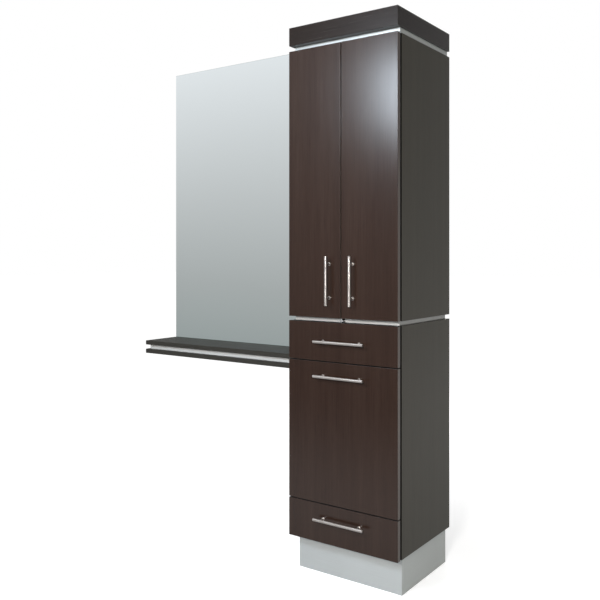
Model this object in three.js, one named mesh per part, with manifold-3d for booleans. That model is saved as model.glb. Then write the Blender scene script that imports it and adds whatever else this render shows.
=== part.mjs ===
// A double sided salon station: a tall storage tower with a mirror wing on its left.
// Millimetres, +Z up. The origin is on the floor below the middle of the tower's cabinets.
// The doors and drawers face -Y, and the wing runs out along -X with a mirror on each face.
import * as THREE from "three";
import { mergeVertices } from "three/addons/utils/BufferGeometryUtils.js";
import Module from "manifold-3d";

const wasm = await Module();
wasm.setup();

// Boards and the clearances between pieces
const BOARD = 19;
const BACK_BOARD = 12;
const FRONT_BOARD = 19;
const EDGE_RADIUS = 1;
const EDGE_STEPS = 2;
const SEAM = 0.3;
const RUN = 0.5;
const CUT_OVERSHOOT = 5;
const MERGE_TOLERANCE = 1e-4;

// Tower
const TOWER_WIDTH = 482;
const CARCASS_DEPTH = 410;
const FRONT_STANDOFF = 11;
const FRONT_GAP = 4;
const PLINTH_HEIGHT = 140;
const LOWER_HEIGHT = 844;
const MID_REVEAL_HEIGHT = 17;
const UPPER_HEIGHT = 1040;
const TOP_REVEAL_HEIGHT = 22;
const CROWN_HEIGHT = 71;
const BACK_INSET = 7;
const PLINTH_INSET = 12;
const PLINTH_TOE_INSET = 25;
const BALLAST_THICKNESS = 25;
const REVEAL_FRONT_INSET = 1;
const MID_REVEAL_INSET = 10;
const TOP_REVEAL_INSET = 7;
const GROOVE_DEPTH = 6;
const SHELF_SETBACK = 13;
const UPPER_SHELVES = ["low", "high"];

// Lower fronts
const DRAWER_FRONT_HEIGHT = 148;
const DIVIDER_DROP = 2;

// Bar pulls
const PULL_RADIUS = 5.5;
const PULL_STANDOFF = 25;
const PULL_END_CHAMFER = 1;
const PULL_SEGMENTS = 20;
const POST_RADIUS = 4;
const POST_SEGMENTS = 12;
const DOOR_PULL_POSTS = 128;
const DRAWER_PULL_POSTS = 160;
const PULL_OVERHANG = 30;
const DOOR_PULL_FROM_EDGE = 50;
const DOOR_PULL_FROM_BOTTOM = 141;
const DRAWER_PULL_FROM_TOP = 74;
const TILT_PULL_FROM_TOP = 54;
const BOTTOM_PULL_FROM_TOP = 56;

// Concealed hinges
const CUP_RADIUS = 17.5;
const CUP_WALL = 1.6;
const CUP_DEPTH = 11.5;
const CUP_FLANGE = 1;
const CUP_FLANGE_RADIUS = 20;
const CUP_INSET = 22.5;
const CUP_SEGMENTS = 24;
const HINGE_FROM_END = 110;
const ARM_WIDTH = 16;
const ARM_THICKNESS = 8;
const ARM_START = 6;
const ARM_LENGTH = 62;
const ARM_NOSE = 9;
const ARM_NOSE_LENGTH = 15;
const ARM_SLOPE = 12;
const NOSE_BAR_THICKNESS = 4;
const DOOR_NOSE_LIFT = 4;
const TILT_NOSE_LIFT = 14;
const PLATE_THICKNESS = 2;
const PLATE_LENGTH = 32;
const PLATE_WIDTH = 46;
const PLATE_START = 24;
const TILT_HINGE_SPAN = 300;

// Drawers and their slides
const DRAWER_WALL = 12;
const DRAWER_FLOOR = 8;
const DRAWER_BOX_LENGTH = 350;
const DRAWER_BOX_DROP = 34;
const DRAWER_BOX_RISE = 14;
const BOTTOM_BOX_DROP = 26;
const BOTTOM_BOX_RISE = 32;
const SLIDE_SPACE = 13;
const SLIDE_HEIGHT = 45;
const SLIDE_SHEET = 1.2;
const SLIDE_LIP = 9.5;
const SLIDE_LENGTH = 350;
const SLIDE_SETBACK = 2;

// Hot tool holder behind the tilt panel
const HOLDER_SHEET = 2;
const HOLDER_WIDTH = 380;
const HOLDER_DEPTH = 130;
const HOLDER_FLANGE = 70;
const HOLDER_RISE = 340;
const COLLAR_HEIGHT = 16;
const COLLAR_WALL = 1.6;
const COLLAR_SEGMENTS = 28;
const DRYER_RADIUS = 42;
const IRON_RADIUS = 24;
const DRYER_OFFSET = -115;
const IRON_OFFSETS = [5, 105];

// Lock in the reveal
const LOCK_RADIUS = 6.5;
const LOCK_SHANK_RADIUS = 4.5;
const LOCK_SHANK = 20;
const LOCK_FACE_INSET = 3;
const LOCK_CHAMFER = 0.8;
const LOCK_SEGMENTS = 24;
const KEY_SLOT_WIDTH = 1.6;
const KEY_SLOT_LENGTH = 7;
const KEY_SLOT_DEPTH = 4;

// Mirror wing
const WING_LENGTH = 846;
const MIRROR_BELOW_TOP = 26;
const MIRROR_CORE = 12;
const MIRROR_GLASS = 4;
const MIRROR_ARRIS = 1.5;
const SHELF_DROP = 138;
const SHELF_CORE_INSET = 15;
const SHELF_CORE_HEIGHT = 19;

// Places that follow from the sizes
const HALF_WIDTH = TOWER_WIDTH / 2;
const INNER_HALF = HALF_WIDTH - BOARD;
const CARCASS_FRONT = -CARCASS_DEPTH / 2;
const CARCASS_BACK = CARCASS_DEPTH / 2;
const FRONTS_BACK = CARCASS_FRONT - FRONT_STANDOFF;
const FRONTS_FACE = FRONTS_BACK - FRONT_BOARD;
const BACK_FACE = CARCASS_BACK - BACK_INSET;
const BACK_FRONT = BACK_FACE - BACK_BOARD;
const LOWER_TOP = PLINTH_HEIGHT + LOWER_HEIGHT;
const UPPER_BASE = LOWER_TOP + MID_REVEAL_HEIGHT;
const UPPER_TOP = UPPER_BASE + UPPER_HEIGHT;
const CROWN_BASE = UPPER_TOP + TOP_REVEAL_HEIGHT;
const CROWN_TOP = CROWN_BASE + CROWN_HEIGHT;
const BOTTOM_FRONT_TOP = PLINTH_HEIGHT + DRAWER_FRONT_HEIGHT;
const TILT_BASE = BOTTOM_FRONT_TOP + FRONT_GAP;
const TOP_FRONT_BASE = LOWER_TOP - DRAWER_FRONT_HEIGHT;
const TILT_TOP = TOP_FRONT_BASE - FRONT_GAP;
const DIVIDER_TOP = TILT_BASE - DIVIDER_DROP;
const REVEAL_FACE = CARCASS_FRONT + REVEAL_FRONT_INSET;
const WING_RIGHT = -HALF_WIDTH - SEAM;
const WING_LEFT = WING_RIGHT - WING_LENGTH;
const SHELF_TOP_Z = LOWER_TOP - SHELF_DROP;
const SHELF_CORE_TOP = SHELF_TOP_Z - BOARD - SEAM;
const SHELF_CORE_BASE = SHELF_CORE_TOP - SHELF_CORE_HEIGHT;
const HALF_CORE = MIRROR_CORE / 2;
const NOSE_REACH = FRONT_STANDOFF - SEAM - CUP_FLANGE - RUN;

// Finishes
function finish(color, roughness, metalness) {
  return () => new THREE.MeshStandardMaterial({ color, roughness, metalness });
}
const espresso = finish(0x3d332f, 0.32, 0);
const silver = finish(0xb9bfc0, 0.35, 0.5);
const melamine = finish(0xd9d6cf, 0.5, 0);
const brushedSteel = finish(0xd4ccc6, 0.3, 1);
const zincSteel = finish(0xa9abad, 0.4, 1);
const chrome = finish(0xe2e4e6, 0.1, 1);
const mirrorGlass = finish(0xc3caca, 0.04, 1);
const rawSteel = finish(0x4a4d50, 0.6, 1);

// Turns a closed geometry into a solid that can be cut and joined.
function toSolid(geometry) {
  const bare = new THREE.BufferGeometry();
  const flat = geometry.index ? geometry.toNonIndexed() : geometry;
  bare.setAttribute("position", flat.getAttribute("position"));
  const merged = mergeVertices(bare, MERGE_TOLERANCE);
  const vertProperties = new Float32Array(merged.getAttribute("position").array);
  const triVerts = new Uint32Array(merged.index.array);
  return new wasm.Manifold(new wasm.Mesh({ numProp: 3, vertProperties, triVerts }));
}

// Turns a solid back into a geometry with flat normals.
function toGeometry(solid) {
  const { vertProperties, triVerts } = solid.getMesh();
  const indexed = new THREE.BufferGeometry();
  indexed.setAttribute("position", new THREE.BufferAttribute(vertProperties, 3));
  indexed.setIndex(new THREE.BufferAttribute(triVerts, 1));
  const geometry = indexed.toNonIndexed();
  geometry.computeVertexNormals();
  return geometry;
}

function join(...geometries) {
  const solids = geometries.map(toSolid);
  return toGeometry(solids.reduce((sum, next) => sum.add(next)));
}

function cut(geometry, ...tools) {
  return toGeometry(tools.reduce((left, tool) => left.subtract(toSolid(tool)), toSolid(geometry)));
}

const size = ([low, high]) => high - low;
const middle = ([low, high]) => (low + high) / 2;

// A plain block over three ranges, for cutting or for a hidden part of a join.
function block(x, y, z) {
  const geometry = new THREE.BoxGeometry(size(x), size(y), size(z));
  return geometry.translate(middle(x), middle(y), middle(z));
}

// A rectangle with rounded corners, about its own middle.
function roundedRectangle(width, height, radius) {
  const right = width / 2 - radius;
  const top = height / 2 - radius;
  const outline = new THREE.Shape();
  outline.absarc(right, top, radius, 0, Math.PI / 2);
  outline.absarc(-right, top, radius, Math.PI / 2, Math.PI);
  outline.absarc(-right, -top, radius, Math.PI, 1.5 * Math.PI);
  outline.absarc(right, -top, radius, 1.5 * Math.PI, 2 * Math.PI);
  return outline;
}

// A board over three ranges with all its edges eased.
function board(x, y, z) {
  const outline = roundedRectangle(size(x), size(y), EDGE_RADIUS);
  const geometry = new THREE.ExtrudeGeometry(outline, {
    depth: size(z) - 2 * EDGE_RADIUS,
    curveSegments: EDGE_STEPS,
    bevelSize: EDGE_RADIUS / 2,
    bevelOffset: -EDGE_RADIUS / 2,
    bevelThickness: EDGE_RADIUS,
    bevelSegments: 1,
  });
  return geometry.translate(middle(x), middle(y), z[0] + EDGE_RADIUS);
}

// A profile drawn in X and Z, run along Y.
function alongY(outline, y) {
  const geometry = new THREE.ExtrudeGeometry(outline, { depth: size(y), bevelEnabled: false });
  return geometry.rotateX(Math.PI / 2).translate(0, y[1], 0);
}

function polygon(points) {
  return new THREE.Shape(points.map(([x, y]) => new THREE.Vector2(x, y)));
}

function revolve(profile, segments) {
  return new THREE.LatheGeometry(
    profile.map(([radius, y]) => new THREE.Vector2(radius, y)),
    segments,
  );
}

// A cylinder that runs along Y.
function rod(radius, y, segments) {
  return new THREE.CylinderGeometry(radius, radius, size(y), segments).translate(0, middle(y), 0);
}

const station = new THREE.Group();

function add(name, geometry, material, position = [0, 0, 0], turnY = 0) {
  const mesh = new THREE.Mesh(geometry, material());
  mesh.name = name;
  mesh.position.set(...position);
  mesh.rotation.y = turnY;
  station.add(mesh);
}

const across = (half) => [-half, half];
const sideRange = (side, low, high) => (side < 0 ? [-high, -low] : [low, high]);
const SIDES = [
  ["left", -1],
  ["right", 1],
];

// Base: four silver boards round a steel ballast plate that lies on the floor.
function addBase() {
  const outer = HALF_WIDTH - PLINTH_INSET;
  const front = CARCASS_FRONT + PLINTH_TOE_INSET;
  const back = CARCASS_BACK - PLINTH_INSET;
  const height = [0, PLINTH_HEIGHT - SEAM];
  const inside = [front + BOARD + SEAM, back - BOARD - SEAM];
  add("plinth_front", board(across(outer), [front, front + BOARD], height), silver);
  add("plinth_back", board(across(outer), [back - BOARD, back], height), silver);
  for (const [word, side] of SIDES) {
    const x = sideRange(side, outer - BOARD, outer);
    add(`plinth_${word}`, board(x, inside, height), silver);
  }
  const plate = block(
    across(outer - BOARD - SEAM),
    [inside[0] + SEAM, inside[1] - SEAM],
    [0, BALLAST_THICKNESS],
  );
  add("ballast_plate", plate, rawSteel);
}

// A pocket in each side board that takes the end of a housed shelf.
function shelfPocket(side, y, z) {
  const x = sideRange(side, INNER_HALF - CUT_OVERSHOOT, INNER_HALF + GROOVE_DEPTH);
  return block(x, [y[0] - SEAM, y[1] + SEAM], [z[0] - SEAM, z[1] + SEAM]);
}

// Two side boards, a floor and a top, with shelves housed in pockets in the sides.
function addCabinet(prefix, base, top, shelves) {
  const depth = [CARCASS_FRONT, CARCASS_BACK];
  const inner = [CARCASS_FRONT, BACK_FRONT - SEAM];
  for (const [word, side] of SIDES) {
    const x = sideRange(side, INNER_HALF, HALF_WIDTH);
    const pockets = shelves.map(({ y, z }) => shelfPocket(side, y, z));
    add(`${prefix}_${word}_side`, cut(board(x, depth, [base, top]), ...pockets), espresso);
  }
  add(`${prefix}_bottom`, board(across(INNER_HALF - SEAM), inner, [base, base + BOARD]), espresso);
  add(`${prefix}_top`, board(across(INNER_HALF - SEAM), inner, [top - BOARD, top]), espresso);
  const housed = across(INNER_HALF + GROOVE_DEPTH - SEAM);
  for (const { name, y, z } of shelves) {
    add(name, board(housed, y, z), espresso);
  }
}

function addTower() {
  const divider = {
    name: "lower_divider",
    y: [CARCASS_FRONT, BACK_FRONT - SEAM],
    z: [DIVIDER_TOP - BOARD, DIVIDER_TOP],
  };
  addCabinet("lower", PLINTH_HEIGHT, LOWER_TOP, [divider]);

  const pitch = (UPPER_HEIGHT - BOARD) / (UPPER_SHELVES.length + 1);
  const shelves = UPPER_SHELVES.map((word, index) => {
    const base = UPPER_BASE + pitch * (index + 1);
    return {
      name: `upper_shelf_${word}`,
      y: [CARCASS_FRONT + SHELF_SETBACK, BACK_FRONT - SEAM],
      z: [base, base + BOARD],
    };
  });
  addCabinet("upper", UPPER_BASE, UPPER_TOP, shelves);

  const back = board(across(INNER_HALF - SEAM), [BACK_FRONT, BACK_FACE], [PLINTH_HEIGHT, UPPER_TOP]);
  add("back_panel", back, espresso);

  const mid = board(
    across(HALF_WIDTH - MID_REVEAL_INSET),
    [REVEAL_FACE, BACK_FRONT - SEAM],
    [LOWER_TOP + SEAM, UPPER_BASE - SEAM],
  );
  const lockBore = rod(
    LOCK_SHANK_RADIUS + SEAM,
    [REVEAL_FACE - CUT_OVERSHOOT, REVEAL_FACE + LOCK_SHANK + SEAM],
    LOCK_SEGMENTS,
  ).translate(0, 0, middle([LOWER_TOP, UPPER_BASE]));
  add("mid_reveal", cut(mid, lockBore), silver);

  const top = board(
    across(HALF_WIDTH - TOP_REVEAL_INSET),
    [REVEAL_FACE, CARCASS_BACK - TOP_REVEAL_INSET],
    [UPPER_TOP + SEAM, CROWN_BASE - SEAM],
  );
  add("top_reveal", top, silver);

  const crown = board(across(HALF_WIDTH), [FRONTS_FACE, CARCASS_BACK], [CROWN_BASE, CROWN_TOP]);
  add("crown", crown, espresso);
}

// A round bar on two posts. The bar lies along X and the posts run back to the face at y = 0.
function barPull(posts) {
  const half = posts / 2 + PULL_OVERHANG;
  const end = half - PULL_END_CHAMFER;
  const tip = PULL_RADIUS - PULL_END_CHAMFER;
  const bar = revolve(
    [
      [0, -half],
      [tip, -half],
      [PULL_RADIUS, -end],
      [PULL_RADIUS, end],
      [tip, half],
      [0, half],
    ],
    PULL_SEGMENTS,
  )
    .rotateZ(Math.PI / 2)
    .translate(0, -PULL_STANDOFF, 0);
  const legs = across(posts / 2).map((x) =>
    rod(POST_RADIUS, [-PULL_STANDOFF, -SEAM], POST_SEGMENTS).translate(x, 0, 0),
  );
  return join(bar, ...legs);
}

// The cup of a concealed hinge: its floor at y = 0, its mouth and rim towards +Y.
function hingeCup() {
  const rim = CUP_DEPTH + SEAM;
  const bore = CUP_RADIUS - CUP_WALL;
  return revolve(
    [
      [0, 0],
      [CUP_RADIUS, 0],
      [CUP_RADIUS, rim],
      [CUP_FLANGE_RADIUS, rim],
      [CUP_FLANGE_RADIUS, rim + CUP_FLANGE],
      [bore, rim + CUP_FLANGE],
      [bore, CUP_WALL],
      [0, CUP_WALL],
    ],
    CUP_SEGMENTS,
  );
}

function cupBore(x, z) {
  const y = [FRONTS_BACK - CUP_DEPTH - SEAM, FRONTS_BACK + CUT_OVERSHOOT];
  return rod(CUP_RADIUS + SEAM, y, CUP_SEGMENTS).translate(x, 0, z);
}

// The arm of a concealed hinge. It is screwed down at x = 0, and its nose reaches out along -Y
// to the cup, where a cross bar lies over the rim. noseLift is the nose's height off the screwed face.
function hingeArm(noseLift) {
  const noseTop = noseLift + ARM_NOSE;
  const noseBack = ARM_NOSE_LENGTH - NOSE_REACH;
  const outline = polygon([
    [0, ARM_START + ARM_LENGTH],
    [0, ARM_START],
    [noseLift, -NOSE_REACH],
    [noseTop, -NOSE_REACH],
    [noseTop, noseBack],
    [ARM_THICKNESS, noseBack + ARM_SLOPE],
    [ARM_THICKNESS, ARM_START + ARM_LENGTH],
  ]);
  const arm = new THREE.ExtrudeGeometry(outline, { depth: ARM_WIDTH, bevelEnabled: false });
  const plate = block(
    [0, PLATE_THICKNESS],
    [PLATE_START, PLATE_START + PLATE_LENGTH],
    across(PLATE_WIDTH / 2),
  );
  const bar = block(
    [noseLift, noseTop],
    [-NOSE_REACH, NOSE_BAR_THICKNESS - NOSE_REACH],
    across(CUP_RADIUS),
  );
  return join(arm.translate(0, 0, -ARM_WIDTH / 2), plate, bar);
}

function addDoors() {
  const hingeHeights = [
    ["lower", UPPER_BASE + HINGE_FROM_END],
    ["upper", UPPER_TOP - HINGE_FROM_END],
  ];
  const pullZ = UPPER_BASE + DOOR_PULL_FROM_BOTTOM;
  for (const [word, side] of SIDES) {
    const x = sideRange(side, FRONT_GAP / 2, HALF_WIDTH);
    const cupX = side * (HALF_WIDTH - CUP_INSET);
    const bores = hingeHeights.map(([, z]) => cupBore(cupX, z));
    const leaf = board(x, [FRONTS_FACE, FRONTS_BACK], [UPPER_BASE, UPPER_TOP]);
    add(`${word}_door`, cut(leaf, ...bores), espresso);

    const pullX = side * (FRONT_GAP / 2 + DOOR_PULL_FROM_EDGE);
    const pull = barPull(DOOR_PULL_POSTS);
    add(`${word}_door_handle`, pull, brushedSteel, [pullX, FRONTS_FACE, pullZ], Math.PI / 2);

    for (const [level, z] of hingeHeights) {
      const hinge = `${word}_door_${level}_hinge`;
      add(`${hinge}_cup`, hingeCup(), zincSteel, [cupX, FRONTS_BACK - CUP_DEPTH, z]);
      const armPlace = [side * (INNER_HALF - SEAM), CARCASS_FRONT, z];
      const turn = side < 0 ? 0 : Math.PI;
      add(`${hinge}_arm`, hingeArm(DOOR_NOSE_LIFT), zincSteel, armPlace, turn);
    }
  }
}

// A channel with its web at u = outer and its lips towards u = inner, drawn at one side of the tower.
function channel(side, outer, inner, height) {
  const half = height / 2;
  const web = outer + Math.sign(inner - outer) * SLIDE_SHEET;
  const lip = half - SLIDE_SHEET;
  const points = [
    [outer, -half],
    [inner, -half],
    [inner, -lip],
    [web, -lip],
    [web, lip],
    [inner, lip],
    [inner, half],
    [outer, half],
  ];
  return polygon(points.map(([u, z]) => [side * u, z]));
}

// A drawer: front, pull, box, and on each side a fixed and a moving slide member.
function addDrawer(name, front, pullFromTop, boxDrop, boxRise) {
  const boxHalf = INNER_HALF - SLIDE_SPACE;
  const boxY = [FRONTS_BACK + SEAM, FRONTS_BACK + SEAM + DRAWER_BOX_LENGTH];
  const boxZ = [front[0] + boxRise, front[1] - boxDrop];
  const face = board(across(HALF_WIDTH), [FRONTS_FACE, FRONTS_BACK], front);
  add(`${name}_front`, face, espresso);
  const pull = barPull(DRAWER_PULL_POSTS);
  add(`${name}_handle`, pull, brushedSteel, [0, FRONTS_FACE, front[1] - pullFromTop]);

  const hollow = block(
    across(boxHalf - DRAWER_WALL),
    [boxY[0] + DRAWER_WALL, boxY[1] - DRAWER_WALL],
    [boxZ[0] + DRAWER_FLOOR, boxZ[1] + CUT_OVERSHOOT],
  );
  add(`${name}_box`, cut(block(across(boxHalf), boxY, boxZ), hollow), melamine);

  const slideY = [CARCASS_FRONT + SLIDE_SETBACK, CARCASS_FRONT + SLIDE_SETBACK + SLIDE_LENGTH];
  const slideZ = middle(boxZ);
  const movingHeight = SLIDE_HEIGHT - 2 * (SLIDE_SHEET + RUN);
  const wall = INNER_HALF - SEAM;
  for (const [word, side] of SIDES) {
    const fixed = channel(side, wall, wall - SLIDE_LIP, SLIDE_HEIGHT);
    add(`${name}_${word}_runner`, alongY(fixed, slideY), zincSteel, [0, 0, slideZ]);
    const moving = channel(side, boxHalf + SEAM, wall - SLIDE_SHEET - RUN, movingHeight);
    add(`${name}_${word}_slide`, alongY(moving, slideY), zincSteel, [0, 0, slideZ]);
  }
}

// A pressed steel bracket with a collar for each tool: a flange on the panel, a shelf and two cheeks.
function toolHolder() {
  const half = HOLDER_WIDTH / 2;
  const front = 0;
  const rear = HOLDER_DEPTH;
  const tools = [
    [DRYER_OFFSET, DRYER_RADIUS],
    ...IRON_OFFSETS.map((x) => [x, IRON_RADIUS]),
  ];
  const shelf = block(across(half), [front, rear], [-HOLDER_SHEET, 0]);
  const flange = block(across(half), [front, front + HOLDER_SHEET], [-HOLDER_FLANGE, 0]);
  const cheekOutline = polygon([
    [front, -HOLDER_FLANGE],
    [rear, -HOLDER_SHEET],
    [rear, 0],
    [front, 0],
  ]);
  const cheeks = [-half, half - HOLDER_SHEET].map((x) => {
    const cheek = new THREE.ExtrudeGeometry(cheekOutline, { depth: HOLDER_SHEET, bevelEnabled: false });
    cheek.rotateY(Math.PI / 2).rotateX(Math.PI / 2);
    return cheek.translate(x, 0, 0);
  });
  const collars = tools.map(([x, radius]) =>
    new THREE.CylinderGeometry(radius + COLLAR_WALL, radius + COLLAR_WALL, COLLAR_HEIGHT, COLLAR_SEGMENTS)
      .rotateX(Math.PI / 2)
      .translate(x, middle([front, rear]), -COLLAR_HEIGHT / 2),
  );
  const holes = tools.map(([x, radius]) =>
    new THREE.CylinderGeometry(radius, radius, COLLAR_HEIGHT + 2 * CUT_OVERSHOOT, COLLAR_SEGMENTS)
      .rotateX(Math.PI / 2)
      .translate(x, middle([front, rear]), -COLLAR_HEIGHT / 2),
  );
  return cut(join(shelf, flange, ...cheeks, ...collars), ...holes);
}

// The tall panel that tilts out on its lower edge, with the tool holder on its back.
function addTiltOut() {
  const cupZ = TILT_BASE + CUP_INSET;
  const hinges = across(TILT_HINGE_SPAN / 2);
  const bores = hinges.map((x) => cupBore(x, cupZ));
  const panel = board(across(HALF_WIDTH), [FRONTS_FACE, FRONTS_BACK], [TILT_BASE, TILT_TOP]);
  add("tilt_panel", cut(panel, ...bores), espresso);
  const pullPlace = [0, FRONTS_FACE, TILT_TOP - TILT_PULL_FROM_TOP];
  add("tilt_handle", barPull(DRAWER_PULL_POSTS), brushedSteel, pullPlace);
  const holderPlace = [0, FRONTS_BACK + SEAM, TILT_BASE + HOLDER_RISE];
  add("tool_holder", toolHolder(), brushedSteel, holderPlace);
  hinges.forEach((x, index) => {
    const word = SIDES[index][0];
    add(`tilt_${word}_hinge_cup`, hingeCup(), zincSteel, [x, FRONTS_BACK - CUP_DEPTH, cupZ]);
    const armPlace = [x, CARCASS_FRONT, DIVIDER_TOP + SEAM];
    add(`tilt_${word}_hinge_arm`, hingeArm(TILT_NOSE_LIFT), zincSteel, armPlace, -Math.PI / 2);
  });
}

// A key lock whose barrel comes forward through the reveal to just behind the faces of the fronts.
function addLock() {
  const face = FRONTS_FACE + LOCK_FACE_INSET - REVEAL_FACE;
  const barrel = revolve(
    [
      [0, face],
      [LOCK_RADIUS - LOCK_CHAMFER, face],
      [LOCK_RADIUS, face + LOCK_CHAMFER],
      [LOCK_RADIUS, -SEAM],
      [LOCK_SHANK_RADIUS, -SEAM],
      [LOCK_SHANK_RADIUS, LOCK_SHANK],
      [0, LOCK_SHANK],
    ],
    LOCK_SEGMENTS,
  );
  const slot = block(
    across(KEY_SLOT_WIDTH / 2),
    [face - CUT_OVERSHOOT, face + KEY_SLOT_DEPTH],
    across(KEY_SLOT_LENGTH / 2),
  );
  add("lock_barrel", cut(barrel, slot), chrome, [0, REVEAL_FACE, middle([LOWER_TOP, UPPER_BASE])]);
}

// A sheet of mirror glass whose front edges, towards -Y, have a fine ground arris.
function mirrorSheet(width, height) {
  const outline = polygon([
    [-width / 2, -height / 2],
    [width / 2, -height / 2],
    [width / 2, height / 2],
    [-width / 2, height / 2],
  ]);
  const straight = 2 * (MIRROR_GLASS - MIRROR_ARRIS);
  const bothFaces = new THREE.ExtrudeGeometry(outline, {
    depth: straight,
    bevelSize: MIRROR_ARRIS,
    bevelOffset: -MIRROR_ARRIS,
    bevelThickness: MIRROR_ARRIS,
    bevelSegments: 1,
  });
  bothFaces.translate(0, 0, -straight / 2).rotateX(Math.PI / 2);
  const rearHalf = block(across(width), [0, MIRROR_GLASS + CUT_OVERSHOOT], across(height));
  return cut(bothFaces, rearHalf);
}

// The wing: a ledge of three layers, and a core panel on it with a mirror on each face.
function addWing() {
  const ledgeX = [WING_LEFT, WING_RIGHT];
  const ledgeY = [CARCASS_FRONT, CARCASS_BACK];
  const shelfTop = [SHELF_TOP_Z - BOARD, SHELF_TOP_Z];
  const shelfBottom = [SHELF_CORE_BASE - SEAM - BOARD, SHELF_CORE_BASE - SEAM];
  const coreX = [WING_LEFT + SHELF_CORE_INSET, WING_RIGHT];
  const coreY = [CARCASS_FRONT + SHELF_CORE_INSET, CARCASS_BACK - SHELF_CORE_INSET];
  add("shelf_top", board(ledgeX, ledgeY, shelfTop), espresso);
  add("shelf_core", board(coreX, coreY, [SHELF_CORE_BASE, SHELF_CORE_TOP]), silver);
  add("shelf_bottom", board(ledgeX, ledgeY, shelfBottom), espresso);

  const mirrorZ = [SHELF_TOP_Z + SEAM, CROWN_TOP - MIRROR_BELOW_TOP];
  add("mirror_core", board(ledgeX, across(HALF_CORE), mirrorZ), espresso);
  const middleX = middle(ledgeX);
  const sheet = mirrorSheet(WING_LENGTH, size(mirrorZ));
  add("front_mirror", sheet, mirrorGlass, [middleX, -HALF_CORE - SEAM, middle(mirrorZ)]);
  const turned = sheet.clone().rotateZ(Math.PI);
  add("back_mirror", turned, mirrorGlass, [middleX, HALF_CORE + SEAM, middle(mirrorZ)]);
}

addBase();
addTower();
addDoors();
addDrawer(
  "top_drawer",
  [TOP_FRONT_BASE, LOWER_TOP],
  DRAWER_PULL_FROM_TOP,
  DRAWER_BOX_DROP,
  DRAWER_BOX_RISE,
);
addDrawer(
  "bottom_drawer",
  [PLINTH_HEIGHT, BOTTOM_FRONT_TOP],
  BOTTOM_PULL_FROM_TOP,
  BOTTOM_BOX_DROP,
  BOTTOM_BOX_RISE,
);
addTiltOut();
addLock();
addWing();

export default station;
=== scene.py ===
"""Looks for the double sided salon station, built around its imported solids. Metres, +Z up."""

import math

import bmesh
import bpy
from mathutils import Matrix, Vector


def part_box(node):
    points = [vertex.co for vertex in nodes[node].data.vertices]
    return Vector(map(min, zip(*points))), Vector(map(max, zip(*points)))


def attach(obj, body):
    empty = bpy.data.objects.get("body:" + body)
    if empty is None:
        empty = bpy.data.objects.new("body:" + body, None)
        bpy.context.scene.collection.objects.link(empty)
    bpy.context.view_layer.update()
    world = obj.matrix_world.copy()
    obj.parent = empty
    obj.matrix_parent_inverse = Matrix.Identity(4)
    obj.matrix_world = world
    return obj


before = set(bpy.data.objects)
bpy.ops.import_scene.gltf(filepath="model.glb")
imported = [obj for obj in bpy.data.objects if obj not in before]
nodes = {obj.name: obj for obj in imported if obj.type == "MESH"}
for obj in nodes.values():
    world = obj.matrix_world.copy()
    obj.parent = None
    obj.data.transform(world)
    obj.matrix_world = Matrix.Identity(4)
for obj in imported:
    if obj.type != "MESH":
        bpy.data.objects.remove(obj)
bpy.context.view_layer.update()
scene = bpy.context.scene

# Camera, fitted to the photograph's frame
IMAGE_SIDE = 600
FOCAL_PX = 748.6
HORIZON_PX = 255.9
CAMERA_PLACE = (1.5102, -2.6117, 1.2370)
CAMERA_YAW = 0.6204
SENSOR_MM = 36.0
CLIP_END = 200.0

# Lamps: place, aim, width, height, power in watts, colour
KEY = ((-0.6, -2.6, 2.36), (0.2, -0.2, 1.6), 0.95, 0.45, 64.0, (0.80, 0.90, 1.0))
FRONT_FILL = ((1.2, -3.4, 1.85), (0.0, -0.2, 1.1), 0.5, 0.5, 92.0, (1.0, 0.97, 0.93))
RIGHT_FILL = ((2.3, -0.5, 0.45), (0.2, 0.0, 0.5), 1.6, 0.8, 7.5, (0.97, 1.0, 0.95))
TOP_FILL = ((-0.6, -0.9, 4.6), (-0.4, -0.1, 0.8), 2.4, 2.4, 34.0, (1.0, 1.0, 1.0))
BACK_FILL = ((-0.8, 3.4, 2.6), (-0.3, 0.1, 1.2), 2.4, 2.0, 60.0, (1.0, 1.0, 1.0))
WORLD_LIGHT = 0.19
WHITE = (1.0, 1.0, 1.0)

# Colour sockets of a Mix node, whose names it gives to its other data types too
MIX_A, MIX_B, MIX_RESULT = 6, 7, 2
# Where most of a noise texture's values lie
NOISE_SPAN = (0.3, 0.7)
# Parts of a face's normal over which one finish gives way to another
FRONT_SPAN = (-0.9, -0.6)
TURNED_SPAN = (0.6, 0.8)
EDGE_SPAN = (0.55, 0.85)
SIDE_SPAN = (0.5, 0.9)
GLASS_SPAN = (0.8, 0.95)
# Depth of fine marks, in metres
FINE_DEPTH = 0.0002
GRIT_DEPTH = 0.0005


def spread(dark, light):
    """Two colour stops over the span of a noise texture."""
    return tuple(zip(NOISE_SPAN, (dark, light)))


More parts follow.
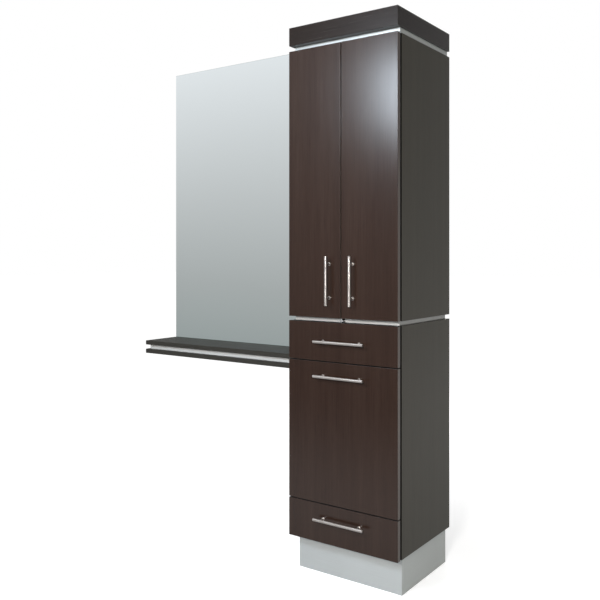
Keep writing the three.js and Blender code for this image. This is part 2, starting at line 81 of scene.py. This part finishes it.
class Graph:
    """A new node material, with short ways to add and link its nodes."""

    def __init__(self, name):
        self.material = bpy.data.materials.new(name)
        self.material.use_nodes = True
        self.tree = self.material.node_tree
        self.shader = self.tree.nodes["Principled BSDF"]

    def add(self, kind, **settings):
        node = self.tree.nodes.new(kind)
        for key, value in settings.items():
            setattr(node, key, value)
        return node

    def link(self, source, target):
        self.tree.links.new(source, target)

    def put(self, target, value):
        """Links a socket to another one, or sets it to a plain value."""
        if isinstance(value, bpy.types.NodeSocket):
            self.link(value, target)
        else:
            target.default_value = value

    def coords(self, output="Object"):
        return self.add("ShaderNodeTexCoord").outputs[output]

    def stretched(self, scale):
        mapping = self.add("ShaderNodeMapping")
        mapping.inputs["Scale"].default_value = scale
        self.link(self.coords(), mapping.inputs["Vector"])
        return mapping.outputs["Vector"]

    def noise(self, vector, scale, detail=3.0, roughness=0.55):
        node = self.add("ShaderNodeTexNoise")
        self.link(vector, node.inputs["Vector"])
        node.inputs["Scale"].default_value = scale
        node.inputs["Detail"].default_value = detail
        node.inputs["Roughness"].default_value = roughness
        return node.outputs["Fac"]

    def math(self, operation, a, b=0.0):
        node = self.add("ShaderNodeMath", operation=operation)
        self.put(node.inputs[0], a)
        self.put(node.inputs[1], b)
        return node.outputs[0]

    def average(self, a, b):
        return self.math("MULTIPLY", self.math("ADD", a, b), 0.5)

    def remap(self, value, low, high, to_low, to_high):
        node = self.add("ShaderNodeMapRange")
        self.link(value, node.inputs["Value"])
        ends = {"From Min": low, "From Max": high, "To Min": to_low, "To Max": to_high}
        for key, number in ends.items():
            node.inputs[key].default_value = number
        return node.outputs["Result"]

    def ramp(self, value, stops):
        node = self.add("ShaderNodeValToRGB")
        elements = node.color_ramp.elements
        while len(elements) < len(stops):
            elements.new(0.5)
        for element, (place, color) in zip(elements, stops):
            element.position = place
            element.color = (*color, 1.0)
        self.link(value, node.inputs["Fac"])
        return node.outputs["Color"]

    def mix(self, factor, a, b, blend="MIX"):
        node = self.add("ShaderNodeMix", data_type="RGBA", blend_type=blend)
        self.put(node.inputs["Factor"], factor)
        for socket, value in ((node.inputs[MIX_A], a), (node.inputs[MIX_B], b)):
            self.put(socket, (*value, 1.0) if isinstance(value, tuple) else value)
        return node.outputs[MIX_RESULT]

    def split(self, output="Object"):
        """The X, Y and Z of a coordinate, by name."""
        node = self.add("ShaderNodeSeparateXYZ")
        self.link(self.coords(output), node.inputs[0])
        return node.outputs

    def normal_part(self, axis):
        """How far a face's own normal points along an axis of the part, from 0 to 1."""
        return self.math("ABSOLUTE", self.split("Normal")[axis])

    def faces_front(self):
        """1 on faces that look along -Y, towards the front of the part, and 0 elsewhere."""
        return self.remap(self.split("Normal")["Y"], *FRONT_SPAN, 1.0, 0.0)

    def bump(self, height, strength, distance):
        node = self.add("ShaderNodeBump")
        node.inputs["Strength"].default_value = strength
        node.inputs["Distance"].default_value = distance
        self.link(height, node.inputs["Height"])
        self.link(node.outputs["Normal"], self.shader.inputs["Normal"])

    def surface(self, **values):
        for key, value in values.items():
            self.put(self.shader.inputs[key.replace("_", " ")], value)
        return self.material


# Wood grain: its stretch, the scales of its noise, its colour stops, and how dark its pores are
GRAIN_STRETCH = 0.022
ALONG = {
    "X": (GRAIN_STRETCH, 1.0, 1.0),
    "Y": (1.0, GRAIN_STRETCH, 1.0),
    "Z": (1.0, 1.0, GRAIN_STRETCH),
}
BAND_SCALE = 24.0
LINE_SCALE = 210.0
PORE_SCALE = 620.0
GRAIN_STOPS = (0.32, 0.5, 0.7)
PORE_SPAN = (0.34, 0.44)
PORE_SHADE = 0.82
WOOD_BUMP = 0.03

# Tones from the dark to the light of the grain, and the finish of each kind of board
FRONT_TONES = ((0.0186, 0.0086, 0.0055), (0.0230, 0.0113, 0.0075), (0.0280, 0.0147, 0.0101))
FRONT_GLOSS = (0.2, 0.25)
FRONT_SPECULAR = 0.3
# The carcass tones are greener and lighter than the fronts': a painted tint for the cooler, brighter light on the
# sides
CARCASS_TONES = ((0.0352, 0.0312, 0.0226), (0.0398, 0.0355, 0.0262), (0.0450, 0.0400, 0.0298))
CARCASS_GLOSS = (0.34, 0.42)
CARCASS_SPECULAR = 0.13
CROWN_TONES = ((0.0098, 0.0060, 0.0046), (0.0116, 0.0072, 0.0056), (0.0136, 0.0088, 0.0069))
CROWN_GLOSS = (0.22, 0.28)
CROWN_SPECULAR = 0.2
LEDGE_TONES = ((0.0265, 0.0245, 0.0208), (0.0305, 0.0285, 0.0245), (0.0345, 0.0325, 0.0285))
LEDGE_GLOSS = (0.56, 0.64)
LEDGE_SPECULAR = 0.07
EDGE_TONE = (0.105, 0.086, 0.072)
EDGE_GRAIN = 0.5
END_TONE = (0.004, 0.003, 0.0025)
END_ROUGHNESS = 0.85
# Painted shade: a near black tone and a high roughness for the carcass's front edges, in the gaps behind the
# fronts
PAINTED_GAP_SHADE_TONE = (0.002, 0.002, 0.002)
PAINTED_GAP_SHADE_ROUGHNESS = 0.9


def wood_grain(graph, axis, tones):
    """Colour and height of straight grain along one axis, with bands, lines and pores, and the lines alone."""
    vector = graph.stretched(ALONG[axis])
    bands = graph.noise(vector, BAND_SCALE, 2.0)
    lines = graph.noise(vector, LINE_SCALE, 4.0, 0.6)
    pores = graph.noise(vector, PORE_SCALE, 2.0, 0.5)
    color = graph.ramp(graph.average(bands, lines), tuple(zip(GRAIN_STOPS, tones)))
    pore_mask = graph.remap(pores, *PORE_SPAN, PORE_SHADE, 1.0)
    color = graph.mix(1.0, color, pore_mask, "MULTIPLY")
    return color, graph.average(lines, pore_mask), lines


def wood(name, axis, tones, gloss, specular, band_tone=None, turned_axis=None, painted_gap_shade=False):
    """Dark wood laminate. band_tone is the upright edges' tone, and the top and bottom edges are then dark.
    turned_axis is the grain's way on the faces whose normal is along the main grain.
    painted_gap_shade paints the front edges, behind the doors and drawers, near black: painted shade for the gaps
    between the fronts and the carcass."""
    graph = Graph(name)
    color, height, lines = wood_grain(graph, axis, tones)
    rough = graph.remap(lines, *NOISE_SPAN, *gloss)
    if turned_axis:
        turned_color, _, _ = wood_grain(graph, turned_axis, tones)
        on_turned = graph.remap(graph.normal_part(axis), *TURNED_SPAN, 0.0, 1.0)
        color = graph.mix(on_turned, color, turned_color)
    if band_tone:
        on_edge = graph.remap(graph.normal_part("X"), *EDGE_SPAN, 0.0, 1.0)
        edge = graph.mix(EDGE_GRAIN, band_tone, color, "SOFT_LIGHT")
        color = graph.mix(on_edge, color, edge)
        on_end = graph.remap(graph.normal_part("Z"), *EDGE_SPAN, 0.0, 1.0)
        color = graph.mix(on_end, color, END_TONE)
        rough = graph.math("MAXIMUM", rough, graph.math("MULTIPLY", on_end, END_ROUGHNESS))
    if painted_gap_shade:
        # Painted shade: faces that look to the front turn near black and rough
        painted_gap_mask = graph.faces_front()
        color = graph.mix(painted_gap_mask, color, PAINTED_GAP_SHADE_TONE)
        rough = graph.math("MAXIMUM", rough, graph.math("MULTIPLY", painted_gap_mask, PAINTED_GAP_SHADE_ROUGHNESS))
    graph.bump(height, WOOD_BUMP, FINE_DEPTH)
    return graph.surface(Base_Color=color, Roughness=rough, Specular_IOR_Level=specular)


front_wood = wood("espresso_front", "Z", FRONT_TONES, FRONT_GLOSS, FRONT_SPECULAR, band_tone=EDGE_TONE)
carcass_wood = wood("espresso_carcass", "Z", CARCASS_TONES, CARCASS_GLOSS, CARCASS_SPECULAR, painted_gap_shade=True)
inner_wood = wood("espresso_inner", "X", CARCASS_TONES, CARCASS_GLOSS, CARCASS_SPECULAR, painted_gap_shade=True)
crown_wood = wood("espresso_crown", "X", CROWN_TONES, CROWN_GLOSS, CROWN_SPECULAR, turned_axis="Y")
ledge_wood = wood("espresso_ledge", "X", LEDGE_TONES, LEDGE_GLOSS, LEDGE_SPECULAR, turned_axis="Y")

# Silver laminate: dark and light of its lines, and the painted shade of its side runs
PLINTH_SILVER = ((0.415, 0.435, 0.435), (0.475, 0.495, 0.495), (0.88, 0.88, 0.85))
# Painted light: the trim and the strip are lighter copies of the plinth's silver, standing in for light their
# recesses do not get
TRIM_SILVER_PAINTED_LIGHT = ((0.82, 0.82, 0.81), (0.9, 0.9, 0.89), (0.3, 0.3, 0.29))
STRIP_SILVER_PAINTED_LIGHT = ((0.55, 0.55, 0.54), (0.62, 0.62, 0.61), (0.6, 0.6, 0.59))
SILVER_STRETCH = (0.006, 0.006, 1.0)
SILVER_LINES = 900.0
SILVER_CLOUDS = 3.0
SILVER_CLOUD_SHADE = (0.93, 0.93, 0.93)
SILVER_BUMP = 0.06
SILVER_GLOSS = (0.3, 0.42)
SILVER_METALLIC = 0.3


def silver_laminate(name, dark, light, painted_side_shade):
    """Brushed silver laminate, its fine lines level. painted_side_shade darkens the runs along the sides as
    painted shade.
    """
    graph = Graph(name)
    lines = graph.noise(graph.stretched(SILVER_STRETCH), SILVER_LINES, 3.0, 0.7)
    clouds = graph.noise(graph.coords(), SILVER_CLOUDS, 2.0)
    color = graph.ramp(lines, spread(dark, light))
    painted_side_mask = graph.remap(graph.normal_part("X"), *SIDE_SPAN, 0.0, 1.0)
    # Painted shade: the side runs are darkened
    color = graph.mix(painted_side_mask, color, graph.mix(1.0, color, painted_side_shade, "MULTIPLY"))
    shade = graph.ramp(clouds, spread(SILVER_CLOUD_SHADE, WHITE))
    color = graph.mix(1.0, color, shade, "MULTIPLY")
    graph.bump(lines, SILVER_BUMP, FINE_DEPTH)
    rough = graph.remap(lines, *NOISE_SPAN, *SILVER_GLOSS)
    return graph.surface(Base_Color=color, Roughness=rough, Metallic=SILVER_METALLIC)


silver = silver_laminate("silver_laminate", *PLINTH_SILVER)
# Lighter copies of the silver, painted light for the mid reveal and the shelf strip
trim_painted_light = silver_laminate("silver_trim_painted_light", *TRIM_SILVER_PAINTED_LIGHT)
strip_painted_light = silver_laminate("silver_strip_painted_light", *STRIP_SILVER_PAINTED_LIGHT)

# Metals: dark and light, roughness, scale of the marks, their stretch, bump
LEVEL = (0.02, 1.0, 1.0)
UPRIGHT = (1.0, 1.0, 0.02)
EVEN = (1.0, 1.0, 1.0)
STEEL_TONES = ((0.39, 0.36, 0.342), (0.45, 0.418, 0.395))
STEEL_LEVEL = (*STEEL_TONES, (0.3, 0.36), 1500.0, LEVEL, 0.002)
STEEL_UPRIGHT = (*STEEL_TONES, (0.3, 0.36), 1500.0, UPRIGHT, 0.002)
ZINC = ((0.40, 0.41, 0.42), (0.56, 0.57, 0.58), (0.28, 0.46), 180.0, EVEN, 0.08)
CHROME = ((0.84, 0.85, 0.86), (0.92, 0.93, 0.94), (0.14, 0.22), 700.0, EVEN, 0.02)
METAL_CLOUDS = 40.0


def metal(name, dark, light, rough, marks_scale, stretch, bump):
    """Bare or plated metal, with fine marks that run one way or lie evenly."""
    graph = Graph(name)
    marks = graph.noise(graph.stretched(stretch), marks_scale, 3.0, 0.65)
    clouds = graph.noise(graph.coords(), METAL_CLOUDS, 2.0)
    color = graph.ramp(marks, spread(dark, light))
    graph.bump(marks, bump, FINE_DEPTH)
    rough = graph.remap(graph.average(marks, clouds), *NOISE_SPAN, *rough)
    return graph.surface(Base_Color=color, Roughness=rough, Metallic=1.0)


steel_level = metal("brushed_steel_level", *STEEL_LEVEL)
steel_upright = metal("brushed_steel_upright", *STEEL_UPRIGHT)
zinc = metal("zinc_plate", *ZINC)
chrome = metal("lock_chrome", *CHROME)

# Grained coats: dark and light, scale of the clouds, scale and detail of the grain, bump, its depth, roughness
MELAMINE = ((0.63, 0.61, 0.56), (0.70, 0.68, 0.64), 9.0, 700.0, 2.0, 0.08, FINE_DEPTH, (0.4, 0.55))
PRIMER = ((0.022, 0.023, 0.025), (0.05, 0.052, 0.055), 14.0, 420.0, 4.0, 0.3, GRIT_DEPTH, (0.5, 0.75))


def coat(name, dark, light, clouds_scale, grain_scale, grain_detail, bump, depth, rough):
    """A cloudy coat with a fine even grain."""
    graph = Graph(name)
    grain = graph.noise(graph.coords(), grain_scale, grain_detail)
    clouds = graph.noise(graph.coords(), clouds_scale)
    color = graph.ramp(clouds, spread(dark, light))
    graph.bump(grain, bump, depth)
    return graph.surface(Base_Color=color, Roughness=graph.remap(grain, *NOISE_SPAN, *rough))


melamine = coat("pale_melamine", *MELAMINE)
primer = coat("black_primer", *PRIMER)

# Mirror: its colour from the foot to the top, a green tint with a painted reflection that is darker low down and
# lightest at the top, its edge, a slow unevenness of the painted reflection, and dust
MIRROR_BASE_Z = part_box("front_mirror")[0].z
MIRROR_TOP_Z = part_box("front_mirror")[1].z
GLASS_REFLECTION_STOPS = (
    (0.0, (0.80, 0.905, 0.90)),
    (0.2, (0.79, 0.855, 0.855)),
    (0.5, (0.82, 0.875, 0.885)),
    (1.0, (0.89, 0.945, 0.97)),
)
GLASS_EDGE_TONE = (0.30, 0.38, 0.36)
RIPPLE_SCALE = 1.6
RIPPLE_SHIFT = 0.16
DUST_SCALE = 260.0
GLASS_GLOSS = (0.06, 0.09)


def silvered_glass():
    """Mirror glass with a painted reflection, darker low down, lightest at the top and faintly uneven, and grey
    green edges.
    """
    graph = Graph("mirror_glass")
    # Painted reflection: the colour follows the height on the mirror
    reflection_rise = graph.remap(graph.split()["Z"], MIRROR_BASE_Z, MIRROR_TOP_Z, 0.0, 1.0)
    ripple = graph.math("SUBTRACT", graph.noise(graph.coords(), RIPPLE_SCALE, 2.0), 0.5)
    reflection_rise = graph.math("ADD", reflection_rise, graph.math("MULTIPLY", ripple, RIPPLE_SHIFT))
    color = graph.ramp(reflection_rise, GLASS_REFLECTION_STOPS)
    on_edge = graph.remap(graph.normal_part("Y"), *GLASS_SPAN, 1.0, 0.0)
    color = graph.mix(on_edge, color, GLASS_EDGE_TONE)
    dust = graph.noise(graph.coords(), DUST_SCALE, 2.0)
    rough = graph.remap(dust, *NOISE_SPAN, *GLASS_GLOSS)
    return graph.surface(Base_Color=color, Roughness=rough, Metallic=1.0)


mirror = silvered_glass()

FRONTS = ("left_door", "right_door", "top_drawer_front", "bottom_drawer_front", "tilt_panel")
LEVEL_BOARDS = ("lower_bottom", "lower_top", "lower_divider", "upper_bottom", "upper_top",
                "upper_shelf_low", "upper_shelf_high")
SILVER = ("top_reveal", "plinth_front", "plinth_back", "plinth_left", "plinth_right")
SINGLE = {"crown": crown_wood, "lock_barrel": chrome, "ballast_plate": primer, "mid_reveal": trim_painted_light,
          "shelf_core": strip_painted_light}


def finish_of(name):
    """The material of a solid, by its name."""
    if name in FRONTS:
        return front_wood
    if name in LEVEL_BOARDS:
        return inner_wood
    if name in SILVER:
        return silver
    if name in ("front_mirror", "back_mirror"):
        return mirror
    if name in ("shelf_top", "shelf_bottom"):
        return ledge_wood
    if name.endswith(("_cup", "_arm", "_runner", "_slide")):
        return zinc
    if name.endswith("_door_handle"):
        return steel_upright
    if name.endswith("_handle") or name == "tool_holder":
        return steel_level
    if name.endswith("_box"):
        return melamine
    return SINGLE.get(name, carcass_wood)


for name, solid in nodes.items():
    solid.data.materials.clear()
    solid.data.materials.append(finish_of(name))

# The photograph's mirror shows no ledge, so the ledge stays out of the reflections.
for name in ("shelf_top", "shelf_core", "shelf_bottom"):
    nodes[name].visible_glossy = False


# Small fittings, turned in mesh code. A profile's rings run from the base up, as shares of radius and height:
# the ring's own reach, its reach between four lobes, and its height.
TURN_STEPS = 16
LOBE_STEPS = 4
SCREW_PROFILE = ((1.0, 1.0, 0.0), (1.0, 1.0, 0.5), (0.8, 0.8, 0.85), (0.58, 0.58, 1.0), (0.5, 0.17, 1.0),
                 (0.42, 0.14, 0.4))
FOOT_PROFILE = ((1.0, 1.0, 0.0), (1.0, 1.0, 0.55), (0.86, 0.86, 1.0), (0.58, 0.58, 1.0))
PIN_PROFILE = ((1.0, 1.0, 0.0), (1.0, 1.0, 0.16), (0.6, 0.6, 0.18), (0.6, 0.6, 0.93), (0.45, 0.45, 1.0))
SCREW_SIZE = (0.0036, 0.0016)
FOOT_SIZE = (0.0065, 0.0018)
PIN_SIZE = (0.0042, 0.009)
SHARP_ANGLE = math.radians(35.0)


def turn_piece(form, profile, size, place, axis):
    """Adds one turned form to a mesh, standing on a place and pointing along an axis."""
    radius, height = size
    turn = Vector((0.0, 0.0, 1.0)).rotation_difference(Vector(axis)).to_matrix()
    rings = []
    for reach, valley, reflection_rise in profile:
        ring = []
        for step in range(TURN_STEPS):
            angle = math.tau * step / TURN_STEPS
            out = radius * (valley if step % LOBE_STEPS else reach)
            point = Vector((out * math.cos(angle), out * math.sin(angle), height * reflection_rise))
            ring.append(form.verts.new(Vector(place) + turn @ point))
        rings.append(ring)
    for low, high in zip(rings, rings[1:]):
        for step in range(TURN_STEPS):
            after = (step + 1) % TURN_STEPS
            form.faces.new((low[step], low[after], high[after], high[step]))
    form.faces.new(reversed(rings[0]))
    form.faces.new(rings[-1])


def fittings(name, body, material, profile, size, seats):
    """One piece of several like fittings on a body. seats holds each one's place and axis."""
    form = bmesh.new()
    for place, axis in seats:
        turn_piece(form, profile, size, place, axis)
    mesh = bpy.data.meshes.new(name)
    form.to_mesh(mesh)
    form.free()
    for face in mesh.polygons:
        face.use_smooth = True
    mesh.set_sharp_from_angle(angle=SHARP_ANGLE)
    mesh.materials.append(material)
    piece = bpy.data.objects.new(name, mesh)
    scene.collection.objects.link(piece)
    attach(piece, body)


def middle(name):
    low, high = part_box(name)
    return (low + high) / 2


DOOR_POST_REACH = 0.064
LEVEL_POST_REACH = 0.080
FRONT_FACE_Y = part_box("left_door")[0].y


def pull_feet():
    """A foot ring round each post of the bar pulls."""
    outward = (0.0, -1.0, 0.0)
    for body, handle in (("left_door", "left_door_handle"), ("right_door", "right_door_handle"),
                         ("top_drawer", "top_drawer_handle"), ("bottom_drawer", "bottom_drawer_handle"),
                         ("tilt_out", "tilt_handle")):
        center = middle(handle)
        if handle.endswith("_door_handle"):
            step, steel = Vector((0.0, 0.0, DOOR_POST_REACH)), steel_upright
        else:
            step, steel = Vector((LEVEL_POST_REACH, 0.0, 0.0)), steel_level
        base = Vector((center.x, FRONT_FACE_Y, center.z))
        seats = [(base + step, outward), (base - step, outward)]
        fittings(body + "_pull_feet", body, steel, FOOT_PROFILE, FOOT_SIZE, seats)


PLATE_SCREW_Y = -0.165
PLATE_SCREW_REACH = 0.0155
PLATE_THICKNESS = 0.002
RUNNER_SHEET = 0.0012
RUNNER_SCREWS_Y = (-0.17, -0.03, 0.11)
HOLDER_SCREWS_X = (-0.165, -0.055, 0.055, 0.165)
HOLDER_SCREW_DROP = 0.048
HOLDER_SHEET = 0.002
SHELF_PINS_Y = (-0.14, 0.12)


def hidden_fittings():
    """Screws of the hinge plates, runners and tool holder, and the pins under the shelves."""
    plates, runners, pins = [], [], []
    for name in nodes:
        low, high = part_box(name)
        center = (low + high) / 2
        side = math.copysign(1.0, center.x)
        inward = (-side, 0.0, 0.0)
        wall = side * max(abs(low.x), abs(high.x))
        if name.endswith("_hinge_arm") and "door" in name:
            for lift in (-PLATE_SCREW_REACH, PLATE_SCREW_REACH):
                plates.append(((wall - side * PLATE_THICKNESS, PLATE_SCREW_Y, center.z + lift), inward))
        elif name.endswith("_hinge_arm"):
            for shift in (-PLATE_SCREW_REACH, PLATE_SCREW_REACH):
                place = (center.x + shift, PLATE_SCREW_Y, low.z + PLATE_THICKNESS)
                plates.append((place, (0.0, 0.0, 1.0)))
        elif name.endswith("_runner"):
            runners += [((wall - side * RUNNER_SHEET, y, center.z), inward) for y in RUNNER_SCREWS_Y]
        elif name.startswith("upper_shelf"):
            for end, axis in ((low.x, (1.0, 0.0, 0.0)), (high.x, (-1.0, 0.0, 0.0))):
                pins += [((end, y, low.z - PIN_SIZE[0]), axis) for y in SHELF_PINS_Y]
    fittings("hinge_plate_screws", "tower", zinc, SCREW_PROFILE, SCREW_SIZE, plates)
    fittings("runner_screws", "tower", zinc, SCREW_PROFILE, SCREW_SIZE, runners)
    fittings("shelf_pins", "tower", zinc, PIN_PROFILE, PIN_SIZE, pins)
    low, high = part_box("tool_holder")
    screw_y, screw_z = low.y + HOLDER_SHEET, high.z - HOLDER_SCREW_DROP
    holder = [((x, screw_y, screw_z), (0.0, 1.0, 0.0)) for x in HOLDER_SCREWS_X]
    fittings("tool_holder_screws", "tilt_out", zinc, SCREW_PROFILE, SCREW_SIZE, holder)


pull_feet()
hidden_fittings()


def aim(obj, place, target):
    obj.location = place
    obj.rotation_euler = (Vector(target) - Vector(place)).to_track_quat("-Z", "Y").to_euler()
    scene.collection.objects.link(obj)


def softbox(name, place, target, width, height, power, color):
    lamp = bpy.data.lights.new(name, "AREA")
    lamp.shape = "RECTANGLE"
    lamp.size = width
    lamp.size_y = height
    lamp.energy = power
    lamp.color = color
    aim(bpy.data.objects.new(name, lamp), place, target)


softbox("key", *KEY)
softbox("front_fill", *FRONT_FILL)
softbox("right_fill", *RIGHT_FILL)
softbox("top_fill", *TOP_FILL)
softbox("back_fill", *BACK_FILL)


def seen_directly(tree):
    """1 for rays that show the background: from the camera, or by way of metal or glass."""
    path = tree.nodes.new("ShaderNodeLightPath")
    first = tree.nodes.new("ShaderNodeMath")
    first.operation = "MAXIMUM"
    tree.links.new(path.outputs["Is Camera Ray"], first.inputs[0])
    tree.links.new(path.outputs["Is Glossy Ray"], first.inputs[1])
    both = tree.nodes.new("ShaderNodeMath")
    both.operation = "MAXIMUM"
    tree.links.new(first.outputs[0], both.inputs[0])
    tree.links.new(path.outputs["Is Transmission Ray"], both.inputs[1])
    return both.outputs[0]


def white_world():
    """White where it is seen or reflected, and a low even light on the part."""
    world = bpy.data.worlds.new("studio")
    scene.world = world
    world.use_nodes = True
    tree = world.node_tree
    light = tree.nodes["Background"]
    light.inputs["Color"].default_value = (*WHITE, 1.0)
    light.inputs["Strength"].default_value = WORLD_LIGHT
    shown = tree.nodes.new("ShaderNodeBackground")
    shown.inputs["Color"].default_value = (*WHITE, 1.0)
    shown.inputs["Strength"].default_value = 1.0
    mix = tree.nodes.new("ShaderNodeMixShader")
    tree.links.new(seen_directly(tree), mix.inputs["Fac"])
    tree.links.new(light.outputs[0], mix.inputs[1])
    tree.links.new(shown.outputs[0], mix.inputs[2])
    tree.links.new(mix.outputs[0], tree.nodes["World Output"].inputs["Surface"])


# Floor: half its side, glow and shade as seen, grey as it bounces light, and level as reflected. The glow is lower
# near the part, where the floor keeps its shadow. The reflected level is painted light: higher towards the right
# and behind, and falling off far ahead of the part.
FLOOR_HALF = 40.0
FLOOR_GLOW = 0.9
FLOOR_GLOW_NEAR = 0.56
FLOOR_GLOW_REACH = (0.4, 3.0)
FLOOR_SHADE = 0.68
FLOOR_BOUNCE = 0.8
FLOOR_REFLECTED = 0.74
FLOOR_LIT_CORNER = 0.36
FLOOR_RIGHT_X = (0.4, 1.2)
FLOOR_BEHIND_Y = (-0.5, 0.1)
FLOOR_AHEAD_Y = (-2.9, -1.3)
FLOOR_AHEAD_CHANGE = (-0.5, 0.26)
FLOOR_CLEAR_Y = (-0.75, -0.4)


def white_floor():
    """A pale floor that reads as white and keeps the object's soft shadow."""
    mesh = bpy.data.meshes.new("floor")
    form = bmesh.new()
    bmesh.ops.create_grid(form, x_segments=1, y_segments=1, size=FLOOR_HALF)
    form.to_mesh(mesh)
    form.free()
    floor = bpy.data.objects.new("floor", mesh)
    scene.collection.objects.link(floor)
    graph = Graph("pale_floor")
    tree = graph.tree
    shade = graph.add("ShaderNodeBsdfDiffuse")
    shade.inputs["Color"].default_value = (FLOOR_SHADE, FLOOR_SHADE, FLOOR_SHADE, 1.0)
    glow = graph.add("ShaderNodeEmission")
    reach = graph.add("ShaderNodeVectorMath", operation="LENGTH")
    graph.link(graph.coords(), reach.inputs[0])
    brightness = graph.remap(reach.outputs["Value"], *FLOOR_GLOW_REACH, FLOOR_GLOW_NEAR, FLOOR_GLOW)
    graph.link(brightness, glow.inputs["Strength"])
    shown = graph.add("ShaderNodeAddShader")
    graph.link(shade.outputs[0], shown.inputs[0])
    graph.link(glow.outputs[0], shown.inputs[1])
    plain = graph.add("ShaderNodeBsdfDiffuse")
    plain.inputs["Color"].default_value = (FLOOR_BOUNCE, FLOOR_BOUNCE, FLOOR_BOUNCE, 1.0)
    painted_floor_glow = graph.add("ShaderNodeEmission")
    # Painted light on the floor as reflected: a lit corner to the right and behind, and less light far ahead
    place = graph.split()
    right = graph.remap(place["X"], *FLOOR_RIGHT_X, 0.0, FLOOR_LIT_CORNER)
    behind = graph.remap(place["Y"], *FLOOR_BEHIND_Y, 0.0, 1.0)
    ahead = graph.remap(place["Y"], *FLOOR_AHEAD_Y, *FLOOR_AHEAD_CHANGE)
    clear = graph.remap(place["Y"], *FLOOR_CLEAR_Y, 1.0, 0.0)
    corner = graph.math("MULTIPLY", right, behind)
    level = graph.math("ADD", graph.math("MULTIPLY", ahead, clear), FLOOR_REFLECTED)
    graph.link(graph.math("ADD", level, corner), painted_floor_glow.inputs["Strength"])
    reflected = graph.add("ShaderNodeMixShader")
    graph.link(seen_directly(tree), reflected.inputs["Fac"])
    graph.link(plain.outputs[0], reflected.inputs[1])
    graph.link(painted_floor_glow.outputs[0], reflected.inputs[2])
    mix = graph.add("ShaderNodeMixShader")
    graph.link(graph.add("ShaderNodeLightPath").outputs["Is Camera Ray"], mix.inputs["Fac"])
    graph.link(reflected.outputs[0], mix.inputs[1])
    graph.link(shown.outputs[0], mix.inputs[2])
    graph.link(mix.outputs[0], tree.nodes["Material Output"].inputs["Surface"])
    floor.data.materials.append(graph.material)


# Cards that only show in reflections: name, place along Y, left and right ends, level at the floor, and its
# change per metre of height
FRONT_CARD = ("front_card", -4.5, -9.0, 9.0, 0.36, 0.13)
BACK_CARD = ("back_card", 4.5, -9.0, 1.0, 0.36, 0.13)
SIDE_CARD = ("side_card", 4.5, 1.0, 9.0, 1.0, -0.15)
CARD_HEIGHT = 6.0


def studio_card(name, y, left, right, low, reflection_rise):
    """A grey wall before or behind the part, shaded from its foot up."""
    mesh = bpy.data.meshes.new(name)
    corners = ((left, 0.0), (right, 0.0), (right, CARD_HEIGHT), (left, CARD_HEIGHT))
    mesh.from_pydata([(x, y, z) for x, z in corners], [], [(0, 1, 2, 3)])
    card = bpy.data.objects.new(name, mesh)
    scene.collection.objects.link(card)
    graph = Graph(name)
    glow = graph.add("ShaderNodeEmission")
    level = graph.math("ADD", graph.math("MULTIPLY", graph.split()["Z"], reflection_rise), low)
    graph.link(level, glow.inputs["Strength"])
    graph.link(glow.outputs[0], graph.tree.nodes["Material Output"].inputs["Surface"])
    mesh.materials.append(graph.material)
    card.visible_camera = False
    card.visible_diffuse = False
    card.visible_shadow = False
    card.visible_transmission = False


white_world()
white_floor()
studio_card(*FRONT_CARD)
studio_card(*BACK_CARD)
studio_card(*SIDE_CARD)

lens = bpy.data.cameras.new("camera")
lens.sensor_width = SENSOR_MM
lens.lens = FOCAL_PX / IMAGE_SIDE * SENSOR_MM
lens.shift_y = (HORIZON_PX - IMAGE_SIDE / 2) / IMAGE_SIDE
lens.clip_end = CLIP_END
camera = bpy.data.objects.new("camera", lens)
camera.location = CAMERA_PLACE
camera.rotation_euler = (math.pi / 2, 0.0, CAMERA_YAW)
scene.collection.objects.link(camera)
scene.camera = camera
scene.view_settings.view_transform = "Standard"
